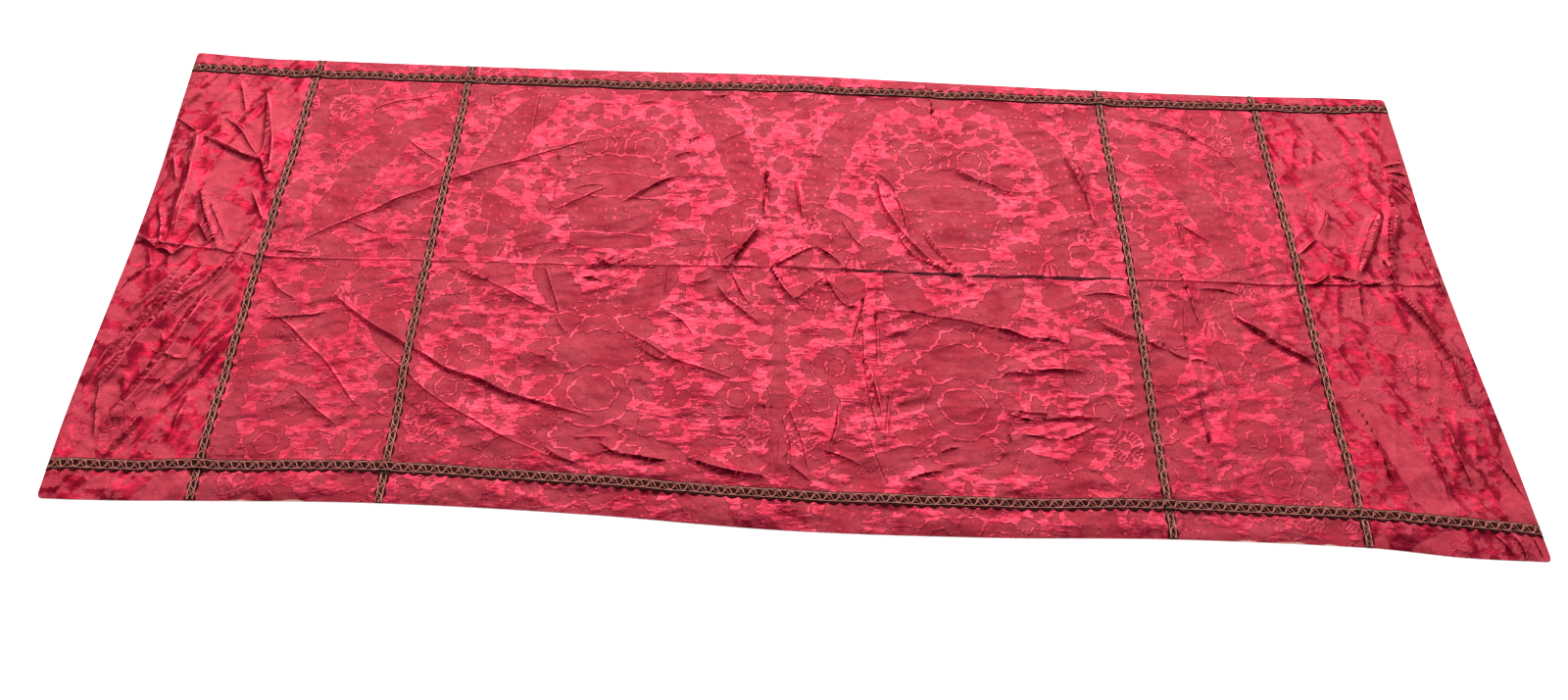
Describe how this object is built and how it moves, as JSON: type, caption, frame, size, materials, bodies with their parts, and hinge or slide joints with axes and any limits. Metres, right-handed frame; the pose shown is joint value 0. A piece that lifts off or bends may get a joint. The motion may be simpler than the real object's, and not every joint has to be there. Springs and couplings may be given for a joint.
{
  "type": "damask wall hanging",
  "caption": "Wide rectangular silk damask hanging, pieced from vertical panels with gimp braid over the seams and along both long sides, laid flat face up.",
  "frame": {"origin": "centre of the footprint, at the surface that the hanging lies on", "axes": "+X along the length, +Y towards the top edge that is fixed when it hangs, +Z out of the face side"},
  "size_m": [2.114, 0.8848, 0.0111],
  "materials": {
    "silk_damask": "glossy satin ground with a matte woven figure",
    "gimp_braid": "matte looped cords"
  },
  "bodies": {
    "root": {"panel_outer_left": "silk_damask", "panel_inner_left": "silk_damask", "panel_centre_left": "silk_damask", "panel_centre_right": "silk_damask", "panel_inner_right": "silk_damask", "panel_outer_right": "silk_damask", "seam_braid_1": "gimp_braid", "seam_braid_2": "gimp_braid", "seam_braid_3": "gimp_braid", "seam_braid_4": "gimp_braid", "braid_top": "gimp_braid", "braid_bottom": "gimp_braid"}
  },
  "joints": []
}
